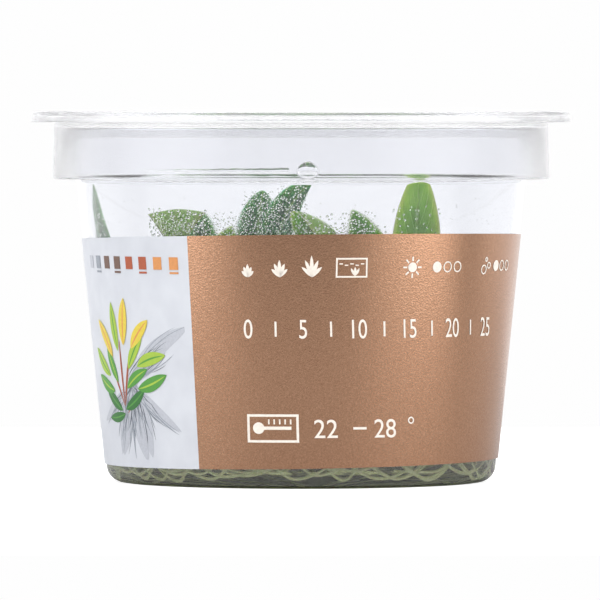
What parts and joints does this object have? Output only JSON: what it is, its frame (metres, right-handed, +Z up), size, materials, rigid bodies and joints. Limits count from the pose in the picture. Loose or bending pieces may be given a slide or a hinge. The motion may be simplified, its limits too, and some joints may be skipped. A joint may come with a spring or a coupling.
{
  "type": "anubias tissue culture cup",
  "caption": "Clear tapered cup with a frosted press-on lid and wrap label, holding young anubias plantlets rooted in nutrient gel.",
  "frame": {"origin": "middle of the bounding box's base, on the axis of the cup, in the plane that it stands on", "axes": "+Z up along the cup's axis; -Y towards the middle of the label, with the white panel on the -X side"},
  "size_m": [0.0952, 0.0952, 0.0653],
  "materials": {
    "clear_plastic": "clear moulded plastic, polished",
    "frosted_plastic": "translucent moulded plastic, finely frosted",
    "printed_film": "satin film label, metallic copper brown and white print",
    "nutrient_gel": "clear olive gel, wet",
    "leaf_tissue": "waxy satin leaf",
    "rhizome_tissue": "matt green stem",
    "root_tissue": "pale wet root",
    "water": "clear water",
    "ink": "flat printed ink"
  },
  "bodies": {
    "root": {"cup": "clear_plastic", "lid": "frosted_plastic", "label": "printed_film", "gel": "nutrient_gel", "rhizome_1": "rhizome_tissue", "leaf_1_1": "leaf_tissue", "leaf_1_2": "leaf_tissue", "leaf_1_3": "leaf_tissue", "leaf_1_4": "leaf_tissue", "rhizome_2": "rhizome_tissue", "leaf_2_1": "leaf_tissue", "leaf_2_2": "leaf_tissue", "leaf_2_3": "leaf_tissue", "leaf_2_4": "leaf_tissue", "rhizome_3": "rhizome_tissue", "leaf_3_1": "leaf_tissue", "leaf_3_2": "leaf_tissue", "leaf_3_3": "leaf_tissue", "rhizome_4": "rhizome_tissue", "leaf_4_1": "leaf_tissue", "leaf_4_2": "leaf_tissue", "leaf_4_3": "leaf_tissue", "leaf_4_4": "leaf_tissue", "rhizome_5": "rhizome_tissue", "leaf_5_1": "leaf_tissue", "leaf_5_2": "leaf_tissue", "leaf_5_3": "leaf_tissue", "leaf_5_4": "leaf_tissue", "rhizome_6": "rhizome_tissue", "leaf_6_1": "leaf_tissue", "leaf_6_2": "leaf_tissue", "leaf_6_3": "leaf_tissue", "leaf_6_4": "leaf_tissue", "rhizome_7": "rhizome_tissue", "leaf_7_1": "leaf_tissue", "leaf_7_2": "leaf_tissue", "leaf_7_3": "leaf_tissue"}
  },
  "joints": []
}
